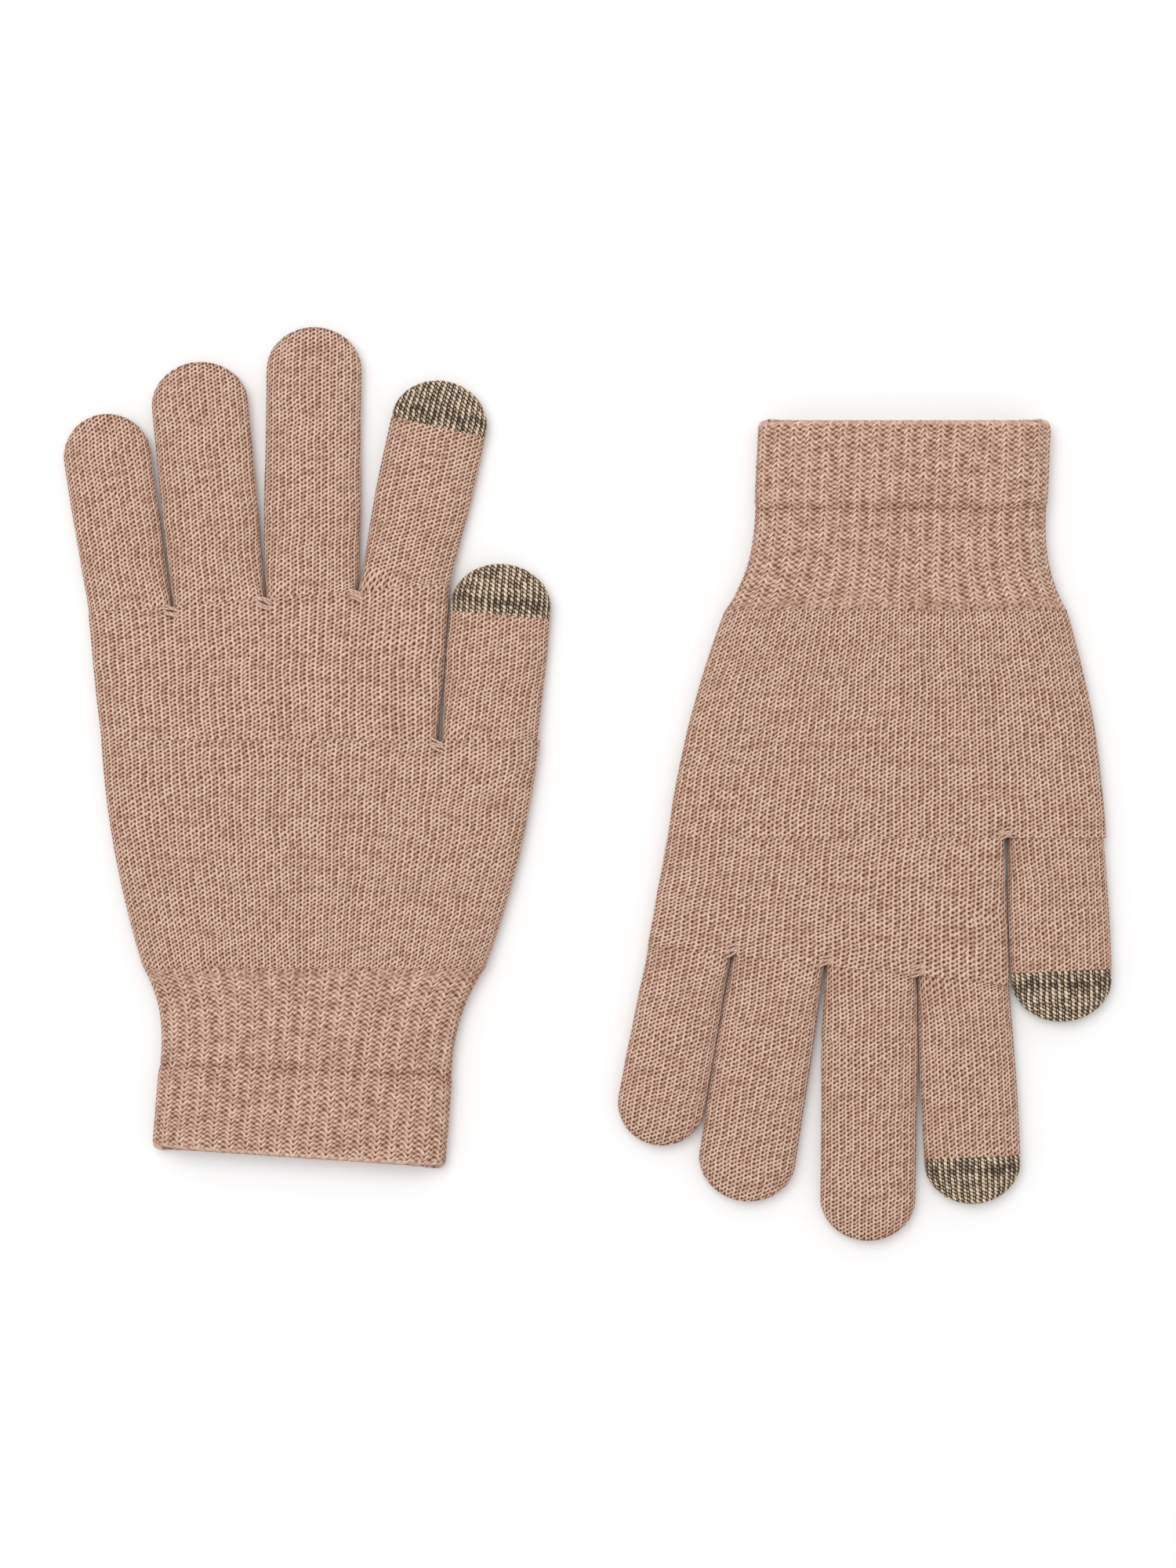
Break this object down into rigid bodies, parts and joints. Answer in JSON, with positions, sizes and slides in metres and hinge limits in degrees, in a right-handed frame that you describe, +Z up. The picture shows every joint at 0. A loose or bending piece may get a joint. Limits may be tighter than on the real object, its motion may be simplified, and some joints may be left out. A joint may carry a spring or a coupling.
{
  "type": "touchscreen gloves",
  "caption": "Thin knitted gloves with ribbed, turned cuffs and conductive thumb and index fingertips, lying flat with the palms up.",
  "frame": {"origin": "middle of the pair, on the surface that the gloves lie on", "axes": "+Z up out of the palms, +Y along the fingers of the right-hand glove, +X towards the left-hand glove"},
  "size_m": [0.2956, 0.2576, 0.0096],
  "materials": {
    "plain_knit": "soft heather knit",
    "rib_knit": "soft heather rib",
    "touch_knit": "coarser knit of conductive yarn",
    "elastic_yarn": "covered elastic yarn",
    "thread": "sewing yarn"
  },
  "bodies": {
    "right_hand": {"right_hand_lower": "plain_knit", "right_hand_upper": "plain_knit", "right_cuff_rib": "rib_knit", "right_cuff_hem": "rib_knit", "right_cuff_elastic": "elastic_yarn", "right_crotch_stitches": "thread"},
    "right_little_base": {"right_little_base": "plain_knit"},
    "right_little_end": {"right_little_end": "plain_knit"},
    "right_ring_base": {"right_ring_base": "plain_knit"},
    "right_ring_end": {"right_ring_end": "plain_knit"},
    "right_middle_base": {"right_middle_base": "plain_knit"},
    "right_middle_end": {"right_middle_end": "plain_knit"},
    "right_index_base": {"right_index_base": "plain_knit"},
    "right_index_end": {"right_index_end": "plain_knit", "right_index_touch_tip": "touch_knit"},
    "right_thumb_base": {"right_thumb_base": "plain_knit"},
    "right_thumb_end": {"right_thumb_end": "plain_knit", "right_thumb_touch_tip": "touch_knit"},
    "left_hand": {"left_hand_lower": "plain_knit", "left_hand_upper": "plain_knit", "left_cuff_rib": "rib_knit", "left_cuff_hem": "rib_knit", "left_cuff_elastic": "elastic_yarn", "left_crotch_stitches": "thread"},
    "left_little_base": {"left_little_base": "plain_knit"},
    "left_little_end": {"left_little_end": "plain_knit"},
    "left_ring_base": {"left_ring_base": "plain_knit"},
    "left_ring_end": {"left_ring_end": "plain_knit"},
    "left_middle_base": {"left_middle_base": "plain_knit"},
    "left_middle_end": {"left_middle_end": "plain_knit"},
    "left_index_base": {"left_index_base": "plain_knit"},
    "left_index_end": {"left_index_end": "plain_knit", "left_index_touch_tip": "touch_knit"},
    "left_thumb_base": {"left_thumb_base": "plain_knit"},
    "left_thumb_end": {"left_thumb_end": "plain_knit", "left_thumb_touch_tip": "touch_knit"}
  },
  "joints": [
    {"name": "right_little_knuckle", "type": "hinge", "parent": "right_hand", "child": "right_little_base", "pos_m": [-0.12913, 0.04908, 0.0076], "axis": [0.9966, 0.0819, 0], "range_deg": [0, 80]},
    {"name": "right_little_middle", "type": "hinge", "parent": "right_little_base", "child": "right_little_end", "pos_m": [-0.1328, 0.07336, 0.0076], "axis": [0.9888, 0.1495, 0], "range_deg": [0, 85]},
    {"name": "right_ring_knuckle", "type": "hinge", "parent": "right_hand", "child": "right_ring_base", "pos_m": [-0.10413, 0.05113, 0.0076], "axis": [0.9966, 0.0819, 0], "range_deg": [0, 80]},
    {"name": "right_ring_middle", "type": "hinge", "parent": "right_ring_base", "child": "right_ring_end", "pos_m": [-0.10701, 0.081, 0.0076], "axis": [0.9954, 0.0958, 0], "range_deg": [0, 85]},
    {"name": "right_middle_knuckle", "type": "hinge", "parent": "right_hand", "child": "right_middle_base", "pos_m": [-0.07808, 0.05328, 0.0076], "axis": [0.9966, 0.0819, 0], "range_deg": [0, 80]},
    {"name": "right_middle_middle", "type": "hinge", "parent": "right_middle_base", "child": "right_middle_end", "pos_m": [-0.07767, 0.08654, 0.0076], "axis": [0.9999, -0.0122, 0], "range_deg": [0, 85]},
    {"name": "right_index_knuckle", "type": "hinge", "parent": "right_hand", "child": "right_index_base", "pos_m": [-0.05202, 0.05542, 0.0076], "axis": [0.9966, 0.0819, 0], "range_deg": [0, 80]},
    {"name": "right_index_middle", "type": "hinge", "parent": "right_index_base", "child": "right_index_end", "pos_m": [-0.04649, 0.08101, 0.0076], "axis": [0.9774, -0.2113, 0], "range_deg": [0, 85]},
    {"name": "right_thumb_knuckle", "type": "hinge", "parent": "right_hand", "child": "right_thumb_base", "pos_m": [-0.02785, 0.0123, 0.0086], "axis": [1, 0, 0], "range_deg": [0, 80]},
    {"name": "right_thumb_middle", "type": "hinge", "parent": "right_thumb_base", "child": "right_thumb_end", "pos_m": [-0.02593, 0.03422, 0.0076], "axis": [0.9962, -0.0872, 0], "range_deg": [0, 70]},
    {"name": "left_little_knuckle", "type": "hinge", "parent": "left_hand", "child": "left_little_base", "pos_m": [0.02874, -0.04694, 0.0076], "axis": [-0.9942, 0.108, 0], "range_deg": [0, 80]},
    {"name": "left_little_middle", "type": "hinge", "parent": "left_little_base", "child": "left_little_end", "pos_m": [0.02427, -0.07108, 0.0076], "axis": [-0.9833, 0.1822, 0], "range_deg": [0, 85]},
    {"name": "left_ring_knuckle", "type": "hinge", "parent": "left_hand", "child": "left_ring_base", "pos_m": [0.05374, -0.04966, 0.0076], "axis": [-0.9942, 0.108, 0], "range_deg": [0, 80]},
    {"name": "left_ring_middle", "type": "hinge", "parent": "left_ring_base", "child": "left_ring_end", "pos_m": [0.04905, -0.07957, 0.0076], "axis": [-0.988, 0.1547, 0], "range_deg": [0, 85]},
    {"name": "left_middle_knuckle", "type": "hinge", "parent": "left_hand", "child": "left_middle_base", "pos_m": [0.07979, -0.05249, 0.0076], "axis": [-0.9942, 0.108, 0], "range_deg": [0, 80]},
    {"name": "left_middle_middle", "type": "hinge", "parent": "left_middle_base", "child": "left_middle_end", "pos_m": [0.07938, -0.0861, 0.0076], "axis": [-0.9999, 0.0122, 0], "range_deg": [0, 85]},
    {"name": "left_index_knuckle", "type": "hinge", "parent": "left_hand", "child": "left_index_base", "pos_m": [0.10585, -0.05532, 0.0076], "axis": [-0.9942, 0.108, 0], "range_deg": [0, 80]},
    {"name": "left_index_middle", "type": "hinge", "parent": "left_index_base", "child": "left_index_end", "pos_m": [0.1073, -0.08313, 0.0076], "axis": [-0.9986, -0.0523, 0], "range_deg": [0, 85]},
    {"name": "left_thumb_knuckle", "type": "hinge", "parent": "left_hand", "child": "left_thumb_base", "pos_m": [0.13195, -0.0152, 0.0086], "axis": [-1, 0, 0], "range_deg": [0, 80]},
    {"name": "left_thumb_middle", "type": "hinge", "parent": "left_thumb_base", "child": "left_thumb_end", "pos_m": [0.13295, -0.03806, 0.0076], "axis": [-0.999, -0.0436, 0], "range_deg": [0, 70]},
    {"name": "left_glove_lift", "type": "slide", "parent": "right_hand", "child": "left_hand", "axis": [0, 0, 1], "range_m": [0, 0.12]}
  ]
}
